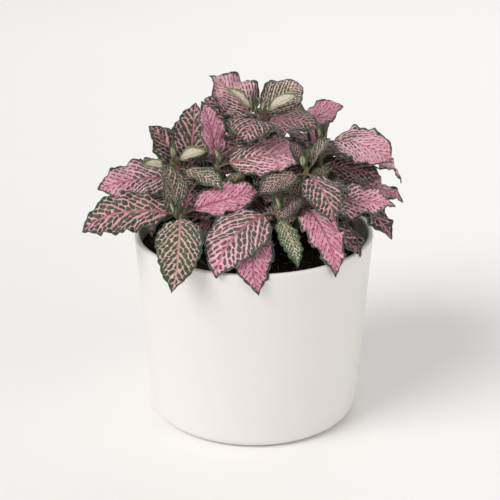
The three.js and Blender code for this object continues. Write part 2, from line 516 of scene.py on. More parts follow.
# shoots: where each stands in the soil and where its tip is, in mm, as in the frame
shoots = {
    "crown": ((2, 6), (3, 9, 174)),
    "left": ((-27, 4), (-46, -3, 149)),
    "front_left": ((-33, -22), (-42, -35, 128)),
    "front": ((-6, -27), (14, -30, 128)),
    "front_right": ((23, -14), (29, -20, 151)),
    "right": ((36, 4), (38, 6, 160)),
    "middle": ((-11, -4), (-21, -12, 150)),
    "back_right": ((20, 32), (25, 42, 156)),
    "back_left": ((-24, 30), (-34, 40, 152)),
    "back": ((-1, 44), (0, 56, 140)),
}
stemShape = {
    "radius": 1.5 * mm,
    "tip": 1.05 * mm,
    "depth": 13 * mm,  # in the soil
    "knee": 30 * mm,  # goes straight up this far
    "swelling": 0.28,  # where a leaf leaves it
    "swellingLength": 0.022,
    "end": 0.6,
    "sides": 14,
    "steps": 40,
}
stemLook = {
    "tones": ("5F6A3C", "83604E"),
    "fleck": "B5AC88",
    "sheen": 0.2,
    "relief": 0.25 * mm,
}


def shootPoint(name, t):
    foot, top = shoots[name]
    top = Vector(top) * mm
    low = Vector((foot[0] * mm, foot[1] * mm, 0))
    low.z = soilTop(low.length) - stemShape["depth"]
    bend = low + Vector((0, 0, stemShape["depth"] + stemShape["knee"]))
    here = low * (1 - t) ** 2 + bend * 2 * t * (1 - t) + top * t * t
    heading = (bend - low) * (1 - t) + (top - bend) * t
    return here, heading.normalized()


def stemMaterial():
    made, shader = material("stemGreen", Roughness=0.5, Sheen_Weight=stemLook["sheen"])
    at = objectPlace()
    along, _ = cloud(at, 150, 4)
    fine, _ = cloud(at, 1400, 3)
    tone = blend(ease(along, 0.35, 0.65), *map(paint, stemLook["tones"]))
    tone = blend(ease(fine, 0.55, 0.8, 0.0, 0.35), tone, paint(stemLook["fleck"]))
    fill(shader, Base_Color=tone, Normal=bump(fine, stemLook["relief"], 0.6))
    return made


stemGreen = stemMaterial()


def makeStem(name, joints):
    # swollen a little where leaves leave it
    bm = bmesh.new()
    path, widths = [], []
    for i in range(stemShape["steps"] + 1):
        t = i / stemShape["steps"]
        path.append(shootPoint(name, t)[0])
        width = stemShape["radius"] + (stemShape["tip"] - stemShape["radius"]) * t
        near = [math.exp(-(((t - at) / stemShape["swellingLength"]) ** 2)) for at in joints]
        width *= 1 + stemShape["swelling"] * max(near)
        widths.append(width if i < stemShape["steps"] else width * stemShape["end"])
    tube(bm, path, widths, stemShape["sides"])
    bmesh.ops.recalc_face_normals(bm, faces=bm.faces)
    stem = pieceFrom(name + "Stem", bm, stemGreen)
    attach(stem, "root")
    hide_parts(name + "_stem")


# leaves: how far up the shoot, azimuth, rise, droop, length, width, roll, fold, look
leaves = {
    "crown": [
        (0.93, 148, 50, 20, 38, 27, -35, 8, "ruffled"),
        (0.95, 38, 50, 45, 34, 24, 30, 0, "grey"),
        (1.0, 185, 48, 10, 22, 8, -30, 22, "cream"),
        (0.99, 350, 38, 15, 24, 10, 30, 22, "cream"),
        (0.95, 252, 28, 85, 26, 26, -5, -5, "net"),
        (0.92, 326, 32, 50, 37, 24, 22, -5, "brown"),
        (0.87, 164, 42, 25, 34, 22, -35, 0, "dark"),
        (0.84, 230, 24, 35, 19, 17, -10, 0, "dark"),
    ],
    "left": [
        (0.76, 74, 76, 12, 40, 23, 0, 8, "net"),
        (0.77, 163, 57, 5, 33, 22, -28, 5, "net"),
        (0.76, 188, 10, 32, 48, 26, -32, 0, "rosy"),
        (0.87, 315, 8, 28, 32, 15, 12, 8, "pale"),
        (0.97, 355, 28, 18, 20, 10, 30, 25, "cream"),
    ],
    "front_left": [
        (0.86, 184, 12, 38, 54, 26, -35, 0, "net"),
        (0.95, 268, 8, 85, 54, 25, 0, -5, "fresh"),
        (0.8, 17, 20, 18, 44, 21, 35, 8, "hot"),
        (0.9, 142, 72, 0, 28, 20, 0, 12, "pale"),
        (0.74, 78, 42, 15, 22, 14, 10, 8, "dark"),
    ],
    "front": [
        (0.86, 230, 12, 72, 56, 33, -12, -4, "hero"),
        (0.5, 273, 20, 92, 54, 24, 0, -5, "hot"),
        (1.0, 130, 72, 10, 14, 9, 0, 15, "young"),
        (0.97, 294, -8, 50, 36, 12, 0, -8, "light"),
    ],
    "front_right": [
        (0.52, 296, 20, 100, 57, 21, 5, -5, "hot"),
        (0.56, 1, 11, 22, 52, 25, 30, 0, "rosy"),
        (0.43, 322, 2, 30, 42, 20, 15, 0, "dark"),
        (0.94, 298, 5, 70, 37, 22, 5, -5, "net"),
        (0.9, 202, 3, 40, 27, 16, -20, 0, "fine"),
        (0.96, 15, 60, 5, 20, 15, 0, 18, "pale"),
        (0.97, 140, 62, 15, 16, 12, 0, 10, "fine"),
        (0.5, 115, 62, 10, 22, 18, 0, 8, "fine"),
    ],
    "right": [
        (0.96, 342, 18, 60, 40, 27, 25, 0, "soft"),
        (0.84, 6, 15, 72, 54, 20, 10, 0, "rosy"),
        (0.74, 350, 6, 28, 33, 22, 25, 0, "dark"),
        (0.48, 325, 25, 88, 54, 20, 5, 0, "dark"),
        (0.28, 300, 18, 45, 45, 21, 0, 0, "dark"),
        (0.56, 14, 10, 50, 54, 18, 20, 0, "rosy"),
    ],
    "middle": [
        (0.95, 6, 20, 25, 52, 28, 28, 0, "soft"),
        (0.94, 138, 73, 0, 36, 19, 0, 10, "hot"),
    ],
    "back_right": [
        (0.98, 5, 38, 15, 28, 19, 30, 5, "hot"),
        (0.9, 75, 20, 60, 52, 28, 0, -4, "rosy"),
        (0.6, 30, 15, 65, 54, 28, 0, 0, "net"),
        (0.85, 262, 35, 60, 30, 20, 0, 0, "dark"),
    ],
    "back_left": [
        (0.97, 126, 2, 50, 42, 25, 0, 0, "rosy"),
        (0.9, 48, 40, 60, 46, 27, 0, 0, "net"),
        (0.65, 186, 12, 50, 50, 26, -10, 0, "net"),
        (0.5, 118, 12, 70, 52, 27, 0, -4, "hero"),
    ],
    "back": [
        (0.95, 92, 8, 75, 50, 28, 0, -5, "net"),
        (0.9, 15, 15, 40, 42, 24, -15, 0, "rosy"),
    ],
}

# smaller leaves between them, without a frame node of their own
extraLeaves = {
    "left": [(0.98, 205, 22, 18, 17, 8, -30, 15, "cream")],
    "right": [(0.86, 112, 72, 0, 19, 10, 0, 8, "hot"), (0.8, 62, 6, 30, 34, 23, 0, 0, "dark")],
    "crown": [
        (0.74, 15, 6, 30, 38, 24, 20, 0, "dark"),
        (0.76, 190, 8, 25, 36, 22, -25, 0, "dark"),
        (0.68, 285, 0, 40, 30, 20, 0, 0, "dark"),
    ],
    "middle": [(0.8, 62, 4, 25, 34, 22, 0, 0, "dark")],
    "front_right": [(0.66, 236, 14, 85, 25, 18, 0, 0, "fine")],
}
# young pairs at each tip, and the azimuth of the first pair
buds = {
    "crown": 310, "left": 260, "front_left": 200, "front": 200, "front_right": 260,
    "right": 60, "middle": 40, "back_right": 120, "back_left": 200, "back": 0,
}
# how far round each pair stands: its rise, droop, length, width and fold
budPairs = {
    0: (66, -12, 9.5, 4.4, 30),
    90: (78, -4, 5.5, 2.6, 35),
}
budDetail = 0.4

leafShape = {
    "gap": 0.35 * mm,  # from the shoot
    "stalkLength": 5 * mm,
    "stalkShare": 0.12,
    "stalkThick": 1.9 * mm,
    "stalkSteps": 5,
    "rib": 0.66 * mm,  # radius of the stalk, which runs on as the rib
    "ribSteps": 18,
    "ribSides": 8,
    "baseTaper": 0.58,
    "tipTaper": (0.7, 0.88),
    "drawnTip": 0.42,
    "hook": 0.06,  # how far the tip strays sideways
    "thickness": 0.42 * mm,
    "rows": 64,
    "columns": 26,
    "wave": 1.8 * mm,  # broad waves along the edge
    "ruffle": 1.0 * mm,  # short ones on top of them
    "scallop": 0.45 * mm,
    "quilt": 0.8 * mm,
    "cup": 0.09,
    "groove": 0.35 * mm,  # along the midrib
    "grooveWidth": 1.1 * mm,
    "swell": 0.9 * mm,  # slow unevenness of the whole blade
    "tipCurl": 2.4 * mm,
    "twist": 22,  # degrees
    "offWall": 0.9 * mm,  # from the pot, where a blade lies on it
}
veinShape = {
    "angle": 37,  # between the side veins and the midrib
    "bend": 0.018,
    "rowWidth": 2.7,  # of a row of cells between side veins, in grains
    "cellLength": 3.9,
    "roundness": 2.8,
    "drift": 2.6,
    "shift": 1.7,  # between the two sides of a blade
    "edge": 4.5,  # cells get shorter this near the edge
    "crowding": 0.1,
}
veinSine, veinCosine = (f(math.radians(veinShape["angle"])) for f in (math.sin, math.cos))
mapSize = 100  # mm of blade across the whole of its map

# leaf looks: how pink, how green in the cells, how bleached, size of the net, how wavy
leafLooks = {
    "hero": (0.32, 0.25, 0.05, 1.1, 1.0),
    "rosy": (0.5, 0.1, 0.1, 0.95, 1.3),
    "soft": (0.64, 0.15, 0.2, 0.88, 1.1),
    "net": (0.12, 0.15, 0.12, 1.1, 0.9),
    "ruffled": (0.6, 0.2, 0.28, 0.85, 2.3),
    "hot": (1.0, 0.0, 0.0, 0.85, 1.15),
    "brown": (0.0, 0.2, 0.0, 0.8, 1.2),
    "dark": (0.04, 0.0, 0.05, 1.1, 0.9),
    "grey": (0.3, 0.3, 0.6, 0.8, 1.2),
    "pale": (0.08, 0.45, 0.7, 0.8, 0.6),
    "fresh": (0.15, 0.35, 0.45, 1.0, 0.7),
    "fine": (0.0, 0.1, 0.45, 0.65, 0.4),
    "light": (0.0, 0.85, 0.9, 0.65, 0.5),
    "young": (0.1, 1.0, 0.25, 0.45, 0.5),
    "cream": (0.1, 0.7, 1.0, 0.5, 0.7),
}
# some looks have their own taper at the base or the tip
ownTapers = {"ruffled": {"tip": 1.15}, "cream": {"base": 0.8, "tip": 1.2}}

hue = {
    "vein": "D58A99",
    "rosyVein": "EBA9BA",
    "dullVein": "A8626B",
    "pinkVein": "CF5F8B",
    "streak": "F5CCD8",
    "creamVein": "EFDCC8",
    "limeVein": "EBE6C2",
    "cell": "1E2924",
    "lightCell": "39463B",
    # brownish cells of the pinker leaves, partly lightened as a painted sheen
    "rosyCellAndSheen": "7D6A60",
    "oliveCell": "515B32",
    "greenCell": "5F8143",
    "pinkCell": "8A5560",
    "cream": "FFF6E2",
    "creamTip": "BFD384",
    "rib": "A84D60",
    "ribTip": "DE84A4",
    "creamRib": "E6D9BC",
    "rim": "27362E",
    # the very edge: partly the pale hairy margin, partly a painted highlight
    "paleEdgeAndHighlight": "61786A",
    "greenRim": "5C7D49",
    "creamRim": "9DAE68",
    "bloom": "F3E7E4",
    "under": "74795E",
    "greenUnder": "A3B069",
    "creamUnder": "F6EFD6",
    "pinkUnder": "B98A86",
    "underVein": "EFE3C8",
    "underRib": "DCCFA6",
    "underRim": "66785A",
}
hue = {name: paint(code) for name, code in hue.items()}
topFinish = {
    "surface": {"Sheen_Weight": 0.13, "Sheen_Roughness": 0.5, "Specular_IOR_Level": 0.4},
    "roughness": (0.33, 0.52),
    "relief": 0.85 * mm,
}
underFinish = {
    "surface": {"Specular_IOR_Level": 0.3},
    "roughness": (0.48, 0.66),
    "relief": 0.5 * mm,
}


def leafSide():
    # the blade's own flat place in mm, the distance in from its edge and how far along it lies
    flat = newNode("UVMap")
    flat.uv_map = "flat"
    edge = newNode("UVMap")
    edge.uv_map = "edge"
    x, y, _ = split(flat.outputs[0])
    inward, along, _ = split(edge.outputs[0])
    tint = newNode("Attribute")
    tint.attribute_name = "tint"
    flush, green, cream = split(tint.outputs["Vector"])
    seed = newNode("Attribute")
    seed.attribute_name = "seed"
    inMm = [times(value, mapSize) for value in (x, y, inward)]
    return (*inMm, along, flush, green, cream, seed.outputs["Fac"])


def fromMiddle(value):
    # how far the fraction of a number lies from a half
    return unsigned(minus(calc("FRACT", value), 0.5))


def veinNet(x, y, inward, seed, thin, short):
    # rounded cells in rows along the side veins, shorter towards the edge of the blade
    moved = join(x, y, times(seed, 9.0))
    _, drift = cloud(moved, 0.26, 3, 0.55)
    dx, dy, _ = split(drift)
    side = calc("GREATER_THAN", y, 0.0)
    out = timesPlus(minus(dy, 0.5), veinShape["drift"], unsigned(y))
    far = timesPlus(minus(dx, 0.5), veinShape["drift"], x)
    far = timesPlus(side, veinShape["shift"], far)
    bent = times(times(out, out), -veinShape["bend"])
    lean = timesPlus(far, veinSine, bent)
    lean = timesPlus(out, -veinCosine, lean)
    row = timesPlus(seed, 6.0, calc("DIVIDE", lean, veinShape["rowWidth"]))
    rowNumber = calc("FLOOR", row)
    across = fromMiddle(row)
    strong = minus(0.5, fromMiddle(times(row, 0.5)))  # every other side vein
    near = calc("MAXIMUM", minus(veinShape["edge"], inward), 0.0)
    crowded = times(near, near)
    run = timesPlus(crowded, veinShape["crowding"], times(far, veinCosine))
    run = timesPlus(out, veinSine, run)
    rowCode = timesPlus(side, 37.0, rowNumber)
    slant = times(calc("FRACT", row), minus(chance(rowCode, 8.0), 0.2))
    start = timesPlus(chance(rowCode, 3.0), 3.0, slant)
    column = timesPlus(run, 1 / veinShape["cellLength"], start)
    columnNumber = calc("FLOOR", column)
    length = fromMiddle(column)
    luck = chance(rowCode, calc("ADD", columnNumber, 0.5))
    swell = timesPlus(luck, 0.22, 0.87)
    power = veinShape["roundness"]
    a = calc("POWER", calc("DIVIDE", across, times(thin, swell)), power)
    b = calc("POWER", calc("DIVIDE", length, times(short, swell)), power)
    depth = calc("POWER", calc("ADD", a, b), 1 / power)
    return depth, luck, across, row, out, strong


def leafTopMaterial():
    made, shader = material("leafTop", Roughness=0.46, IOR=1.42, **topFinish["surface"])
    x, y, inward, along, flush, green, cream, seed = leafSide()
    flat = join(x, y, times(seed, 9.0))
    broad, _ = cloud(flat, 0.11, 3)
    fine, _ = cloud(flat, 1.4, 5, 0.6)
    # pink flushes the blade from its tip, and closes over the cells
    begin = timesPlus(flush, -1.4, 1.0)
    spread = timesPlus(minus(broad, 0.5), 0.9, along)
    pink = ease(minus(spread, begin), 0.0, 0.55, 0.0, 0.95)
    pink = times(pink, ease(inward, 0.6, 3.5, 0.6, 1.0))
    rosy = ease(flush, 0.15, 0.5)
    thin = timesPlus(pink, -0.3, timesPlus(rosy, -0.05, 0.45))
    short = timesPlus(pink, -0.13, 0.475)
    depth, luck, across, row, out, strong = veinNet(x, y, inward, seed, thin, short)
    sideVein = times(ease(strong, 0.15, 0.06), ease(inward, 1.5, 5.0))
    cell = times(ease(depth, 1.1, 0.9), minus(1.0, sideVein))
    # veins
    streakAt = join(times(row, 7.0), times(out, 0.22), seed)
    streak, _ = cloud(streakAt, 1.0, 3, 0.6)
    vein = blend(rosy, hue["vein"], hue["rosyVein"])
    vein = blend(ease(flush, 0.09, 0.03, 0.0, 0.65), vein, hue["dullVein"])
    vein = blend(pink, vein, hue["pinkVein"])
    light = timesPlus(ease(flush, 0.03, 0.4), 0.55, 0.3)
    vein = blend(ease(streak, 0.38, 0.66, 0.0, light), vein, hue["streak"])
    bleach = ease(green, 0.4, 1.0)
    bleach = blend(bleach, hue["creamVein"], hue["limeVein"])
    vein = blend(times(cream, 0.85), vein, bleach)
    # cells
    dark = blend(luck, hue["cell"], hue["lightCell"])
    # the pinker leaves' cells are lighter and browner: partly their own colour, partly a painted
    # sheen
    dark = blend(times(rosy, 0.45), dark, hue["rosyCellAndSheen"])
    middle = ease(inward, 2.0, 8.0, 0.0, 0.75)
    middle = times(middle, ease(broad, 0.4, 0.7))
    dark = blend(middle, dark, hue["oliveCell"])
    dark = blend(times(green, 0.75), dark, hue["greenCell"])
    dark = blend(times(pink, 0.55), dark, hue["pinkCell"])
    # cream leaves have no cells
    pale = ease(cream, 0.92, 1.0)
    young = times(pale, ease(inward, 0.7, 1.8))
    youngTone = ease(along, 0.6, 1.0, 0.0, 0.7)
    youngTone = blend(youngTone, hue["cream"], hue["creamTip"])
    dark = blend(young, dark, youngTone)
    tone = blend(cell, vein, dark)
    # midrib
    width = timesPlus(along, -0.6, 0.95)
    middleLine = ease(calc("DIVIDE", unsigned(y), width), 1.25, 0.5)
    ribTone = blend(along, hue["rib"], hue["ribTip"])
    ribTone = blend(times(cream, 0.8), ribTone, hue["creamRib"])
    tone = blend(middleLine, tone, ribTone)
    # dark toothed edge, lighter at the very rim: partly the pale hairy margin, partly a painted
    # highlight
    ragged = timesPlus(minus(fine, 0.5), 2.4, inward)
    ragged = timesPlus(minus(broad, 0.5), 2.6, ragged)
    ragged = timesPlus(minus(0.3, across), 1.4, ragged)
    rim = ease(ragged, 1.5, 0.55)
    # lighter at the very edge: partly the pale hairy margin, partly a painted highlight
    rimTone = ease(inward, 0.45, 0.1)
    rimTone = blend(rimTone, hue["rim"], hue["paleEdgeAndHighlight"])
    rimTone = blend(times(green, 0.6), rimTone, hue["greenRim"])
    rimTone = blend(times(pale, 0.75), rimTone, hue["creamRim"])
    tone = blend(rim, tone, rimTone)
    bloom = ease(fine, 0.3, 0.75, 0.0, 0.16)
    tone = blend(bloom, tone, hue["bloom"], "SOFT_LIGHT")
    # no two leaves are quite alike
    shade = timesPlus(chance(seed, 0.5), 0.22, 0.84)
    shade = calc("MAXIMUM", shade, ease(cream, 0.9, 1.0))
    tone = blend(1.0, tone, shade, "MULTIPLY")
    rough = ease(fine, 0.25, 0.75, *topFinish["roughness"])
    dome = times(cell, ease(depth, 1.1, 0.0, 0.4, 1.0))
    height = timesPlus(dome, 0.8, times(fine, 0.28))
    height = timesPlus(streak, 0.15, height)
    height = timesPlus(middleLine, -0.5, height)
    normal = bump(height, topFinish["relief"], 0.9)
    fill(shader, Base_Color=tone, Roughness=rough, Normal=normal)
    return made


def leafUnderMaterial():
    made, shader = material("leafUnder", Roughness=0.55, IOR=1.42, **underFinish["surface"])
    x, y, inward, _, flush, green, cream, seed = leafSide()
    flat = join(x, y, times(seed, 9.0))
    fine, _ = cloud(flat, 1.1, 5, 0.6)
    broad, _ = cloud(flat, 0.12, 3)
    depth = veinNet(x, y, inward, seed, 0.4, 0.44)[0]
    cell = ease(depth, 1.15, 0.8)
    skin = blend(green, hue["under"], hue["greenUnder"])
    skin = blend(times(cream, 0.95), skin, hue["creamUnder"])
    pink = times(flush, ease(broad, 0.3, 0.7))
    skin = blend(pink, skin, hue["pinkUnder"])
    vein = blend(0.6, skin, hue["underVein"])
    tone = blend(cell, vein, skin)
    rib = ease(unsigned(y), 1.3, 0.4)
    tone = blend(rib, tone, hue["underRib"])
    rim = ease(timesPlus(minus(fine, 0.5), 1.6, inward), 1.2, 0.4)
    tone = blend(rim, tone, hue["underRim"])
    rough = ease(fine, 0.25, 0.75, *underFinish["roughness"])
    height = timesPlus(cell, -0.7, times(fine, 0.3))
    normal = bump(height, underFinish["relief"], 0.7)
    fill(shader, Base_Color=tone, Roughness=rough, Normal=normal)
    return made


leafTop, leafUnder = leafTopMaterial(), leafUnderMaterial()


def bladeShare(s, base, tip):
    # half the width over its widest, with the tip drawn out
    widest = base / (base + tip)
    s = min(max(s, 0.0), 1.0)
    drawn = 1 - leafShape["drawnTip"] * beyond(s, 0.76) ** 1.5
    return (s / widest) ** base * ((1 - s) / (1 - widest)) ** tip * drawn


def beyond(s, start):
    return max(0, s - start) / (1 - start)


def midrib(azimuth, rise, droop, length, roll, start, u):
    # a line that leaves at the rise and bends down at an even rate: point, normal, right, along
    turn = math.radians(droop if abs(droop) > 1 else 1)
    first = math.radians(rise)
    now = first - turn * u
    out = length * (math.sin(first) - math.sin(now)) / turn
    up = length * (math.cos(now) - math.cos(first)) / turn
    ca, sa = math.cos(math.radians(azimuth)), math.sin(math.radians(azimuth))
    along = Vector((math.cos(now) * ca, math.cos(now) * sa, math.sin(now)))
    level = Vector((-math.sin(now) * ca, -math.sin(now) * sa, math.cos(now)))
    across = along.cross(level)
    c, s = math.cos(math.radians(roll)), math.sin(math.radians(roll))
    point = start + Vector((out * ca, out * sa, up))
    return point, level * c + across * s, across * c - level * s, along


def leafStart(shoot, at, azimuth, rise, droop):
    here, heading = shootPoint(shoot, at)
    along = midrib(azimuth, rise, droop, 1, 0, Vector(), 0)[3]
    outward = (along - heading * along.dot(heading)).normalized()
    lean = math.sqrt(max(0, 1 - outward.dot(along) ** 2))
    clear = stemShape["radius"] + leafShape["gap"] + leafShape["stalkThick"] / 2 * lean
    return here + outward * clear, here


def readLeaf(values, seed):
    # a leaf's own numbers, from its row in the table and its seed
    _, azimuth, rise, droop, length, width, roll, fold, look = values
    flush, green, cream, grain, wavy = leafLooks[look]
    taper = ownTapers.get(look, {})
    luck = random.Random(seed)
    size = min(1.0, length / 40)
    leaf = {
        "seed": seed, "azimuth": azimuth, "rise": rise, "droop": droop, "roll": roll,
        "fold": math.radians(fold), "length": length * mm, "width": width * mm, "size": size,
        "tint": (flush, green, cream), "grain": grain * (length / 50) ** 0.35, "rows": {},
    }
    leaf["stalk"] = min(leafShape["stalkLength"], length * mm * leafShape["stalkShare"])
    leaf["blade"] = blade = leaf["length"] - leaf["stalk"]
    leaf["tip"] = taper.get("tip", luck.uniform(*leafShape["tipTaper"]))
    leaf["base"] = taper.get("base", leafShape["baseTaper"])
    for name in ("wave", "ruffle"):
        leaf[name] = leafShape[name] * size * wavy * luck.uniform(0.75, 1.25)
    for name in ("scallop", "quilt"):
        leaf[name] = leafShape[name] * size * luck.uniform(0.75, 1.25)
    # how many waves and teeth run along an edge
    leaf["waves"] = [blade / mm / luck.uniform(10, 14), blade / mm / luck.uniform(5, 7)]
    leaf["teeth"] = blade / mm / luck.uniform(3.6, 5)
    leaf["phase"] = [luck.uniform(0, 6.28) for _ in range(6)]
    leaf["sway"] = luck.uniform(-1, 1) * 0.03 * blade
    leaf["twist"] = luck.uniform(-1, 1) * leafShape["twist"]
    leaf["hook"] = luck.uniform(-1, 1) * leafShape["hook"] * blade
    return leaf


def leafLine(leaf, start, u, twist=0.0):
    path = (leaf[name] for name in ("azimuth", "rise", "droop", "length"))
    return midrib(*path, leaf["roll"] + twist, start, u)


def bladeRow(leaf, start, s):
    # what a whole row across the blade shares, with the edge of each side
    half = max(leaf["width"] / 2 * bladeShare(s, leaf["base"], leaf["tip"]), 0.3 * mm)
    u = (leaf["stalk"] + s * leaf["blade"]) / leaf["length"]
    point, normal, right, _ = leafLine(leaf, start, u, leaf["twist"] * (s - 0.4))
    point += right * (leaf["sway"] * math.sin(math.pi * s) + leaf["hook"] * beyond(s, 0.65) ** 2)
    point -= normal * leafShape["tipCurl"] * leaf["size"] * beyond(s, 0.72) ** 2
    ends, phase = math.sin(math.pi * min(1, s * 1.08)) ** 0.5, leaf["phase"]
    sides = {}
    for side in (-1, 1):
        tooth = abs(math.sin(math.pi * leaf["teeth"] * s + phase[0] + side)) - 0.62
        ragged = noise.noise(Vector((s * 8, side * 3.1, leaf["seed"])))
        broadWave = math.sin(2 * math.pi * leaf["waves"][0] * s + phase[1] + side * phase[2])
        shortWave = math.sin(2 * math.pi * leaf["waves"][1] * s + phase[3] + side * phase[4])
        wave = (leaf["wave"] * broadWave + leaf["ruffle"] * shortWave * (0.6 + ragged)) * ends
        sides[side] = (leaf["scallop"] * (2 * tooth + 2.4 * ragged), wave)
    return half, min(1.0, half / (4 * mm)), point, normal, right, sides


def bladePoint(leaf, start, s, v):
    # a place on the blade, s along it and v across: its point, normal and flat place
    if s not in leaf["rows"]:
        leaf["rows"][s] = bladeRow(leaf, start, s)
    half, full, middle, normal, right, sides = leaf["rows"][s]
    side, away = (1 if v > 0 else -1), abs(v)
    scallop, wave = sides[side]
    reach = away * half + away**4 * full * scallop
    # folded along the midrib, cupped, quilted between the side veins and waved along the edge
    row = (s * leaf["blade"] * veinSine - reach * veinCosine) / mm / leaf["grain"]
    row /= veinShape["rowWidth"]
    inside = min(1.0, reach / (2.5 * mm)) * (1 - away**4) * full
    groove = math.exp(-((reach / leafShape["grooveWidth"]) ** 2))
    lift = reach * math.sin(leaf["fold"]) + leafShape["cup"] * half * (away - v * v)
    lift += wave * away**2.4
    lift += leaf["quilt"] * (math.sin(math.pi * row / 2 + 0.6 * (v > 0)) ** 2 - 0.5) * inside
    lift -= leafShape["groove"] * leaf["size"] * groove
    uneven = noise.noise(Vector((s * 3, v * 1.4, leaf["seed"] + 5)))
    lift += leafShape["swell"] * leaf["size"] * uneven
    point = middle + normal * lift - right * side * reach * math.cos(leaf["fold"])
    return point, normal, (s * leaf["blade"], side * reach, half * (1 - away))


def clearOfPot(point):
    # a blade that would touch the pot's wall lies against it instead
    r, wall = point.xy.length, potShape["wall"] / 2
    z = min(point.z, potShape["height"] - wall)
    middle, clear = potRadius(z) - wall, wall + leafShape["offWall"]
    away = Vector((r - middle, point.z - z))
    if r < 1 * mm or away.length >= clear or away.length == 0:
        return point
    away = away.normalized() * clear
    new = (middle + away.x) / r
    return Vector((point.x * new, point.y * new, z + away.y))


def addBlade(bm, leaf, start, detail):
    # a flat sheet of two layers, shaped after it has its thickness
    rows = max(16, round(leafShape["rows"] * detail))
    columns = max(10, round(leafShape["columns"] * detail / 2) * 2)
    verts = bmesh.ops.create_grid(bm, x_segments=rows, y_segments=columns, size=0.5)["verts"]
    faces = {face for vert in verts for face in vert.link_faces}
    made = bmesh.ops.solidify(bm, geom=list(faces), thickness=0.01)["geom"]
    under = {face for face in made if isinstance(face, bmesh.types.BMFace)}
    verts = {vert for face in faces | under for vert in face.verts}
    faces = {face for vert in verts for face in vert.link_faces}
    places, scale = {}, mm * leaf["grain"] * mapSize
    for vert in verts:
        s, v = vert.co.x + 0.5, vert.co.y * 2
        point, normal, (flatX, flatY, inward) = bladePoint(leaf, start, round(s, 4), v)
        depth = leafShape["thickness"] if abs(vert.co.z) > 0.005 else 0
        vert.co = clearOfPot(point) - normal * depth
        places[vert] = (flatX / scale, flatY / scale), (inward / mm / mapSize, s)
    flat, edge = bm.loops.layers.uv["flat"], bm.loops.layers.uv["edge"]
    for face in faces:
        face.material_index = 1 if face in under else 0
        for loop in face.loops:
            loop[flat].uv, loop[edge].uv = places[loop.vert]
    return verts


def addStalk(bm, leaf, start, joint):
    # runs on as the raised rib under the blade
    thick = leafShape["rib"] * (0.45 + 0.55 * leaf["size"])
    path, widths = [joint], [thick]
    for i in range(leafShape["stalkSteps"]):
        u = i / leafShape["stalkSteps"] * leaf["stalk"] / leaf["length"]
        path.append(leafLine(leaf, start, u)[0])
        widths.append(thick)
    last = leafShape["ribSteps"] - 1
    for i in range(leafShape["ribSteps"]):
        point, normal, _ = bladePoint(leaf, start, 0.015 + 0.8 * i / last, 0)
        widths.append(thick * (0.8 - 0.55 * i / last))
        path.append(clearOfPot(point) - normal * (leafShape["thickness"] + widths[-1] * 0.45))
    known = set(bm.faces)
    tube(bm, path, widths, leafShape["ribSides"])
    faces = [face for face in bm.faces if face not in known]
    for face in faces:
        face.material_index = 2
    return {vert for face in faces for vert in face.verts}


def addLeaf(bm, shoot, values, seed, detail=1.0):
    leaf = readLeaf(values, seed)
    start, joint = leafStart(shoot, *values[:4])
    blade = addBlade(bm, leaf, start, detail)
    stalk = addStalk(bm, leaf, start, joint)
    tint, ownSeed = bm.verts.layers.float_vector["tint"], bm.verts.layers.float["seed"]
    for vert in blade | stalk:
        vert[tint] = leaf["tint"]
    for vert in blade:
        vert[ownSeed] = (seed * 0.377) % 1


def newLeafMesh():
    bm = bmesh.new()
    bm.loops.layers.uv.new("flat")
    bm.loops.layers.uv.new("edge")
    bm.verts.layers.float_vector.new("tint")
    bm.verts.layers.float.new("seed")
    return bm


def finishLeaves(name, bm, node=None):
    bmesh.ops.recalc_face_normals(bm, faces=bm.faces)
    piece = pieceFrom(name, bm, leafTop, leafUnder, stemGreen)
    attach(piece, "root")
    if node:
        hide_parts(node)


def bladeMiddle(shoot, row):
    return midrib(*row[1:4], row[4] * mm, 0, leafStart(shoot, *row[:4])[0], 0.6)[0]


def makeLeaf(name, shoot, rows, seed, node=None, detail=1.0):
    # one leaf, or a small bud of a few
    bm = newLeafMesh()
    for i, row in enumerate(rows):
        addLeaf(bm, shoot, row, seed + i * 0.31, detail)
        middles.append(bladeMiddle(shoot, row))
    solids.append(BVHTree.FromBMesh(bm))
    finishLeaves(name, bm, node)


# what the lower leaves must stay clear of, and the middle of every blade
solids, middles = [], []
seed = 0
for shoot, rows in leaves.items():
    makeStem(shoot, [row[0] for row in rows])
    for i, row in enumerate(rows):
        seed += 1
        makeLeaf(f"{shoot}Leaf{i + 1}", shoot, [row], seed, f"{shoot}_leaf_{i + 1}")
for shoot, rows in extraLeaves.items():
    for i, row in enumerate(rows):
        seed += 1
        makeLeaf(f"{shoot}Extra{i + 1}", shoot, [row], seed)
for shoot, azimuth in buds.items():
    seed += 1
    young = [
        (1.0, azimuth + turn + half, rise, droop, length, width, 0, fold, "young")
        for turn, (rise, droop, length, width, fold) in budPairs.items()
        for half in (0, 180)
    ]
    makeLeaf(f"{shoot}Bud", shoot, young, seed, detail=budDetail)
print("shoots and leaves made:", seed, "leaves and buds")


# dark leaves between the shoots, which close the view through the plant
screenShape = {
    "shoots": ("crown", "right", "back_right", "back_left", "back", "middle"),
    "most": 14,
    "tries": 130,
    "least": 2,  # open lines that are worth a leaf
    "hides": 2,  # lines that may end on it before a leaf already there
    "at": (0.35, 0.94),
    "azimuth": (0, 360),
    "rise": (0, 70),
    "droop": (0, 50),
    "length": (20, 36),
    "looks": ("dark",),
}
# lower leaves, which fill the rest: how many each shoot carries
lowerLeaves = {
    "crown": 10, "middle": 7, "left": 5, "front_left": 2, "front_right": 5,
    "right": 6, "back_right": 9, "back_left": 9, "back": 8,
}
lowerShape = {
    "tries": 40,
    "hides": 4,
    "front": -28 * mm,  # none stands nearer than this
    "at": (0.3, 0.85),
    "azimuth": (0, 360),
    "rise": (-5, 45),
    "droop": (15, 60),
    "length": (28, 46),
    "looks": ("dark", "dark", "dark", "net", "net", "rosy", "rosy", "fine"),
}
fillShape = {"share": (0.5, 0.6), "roll": (-20, 20), "fold": (-4, 6), "detail": 0.7}
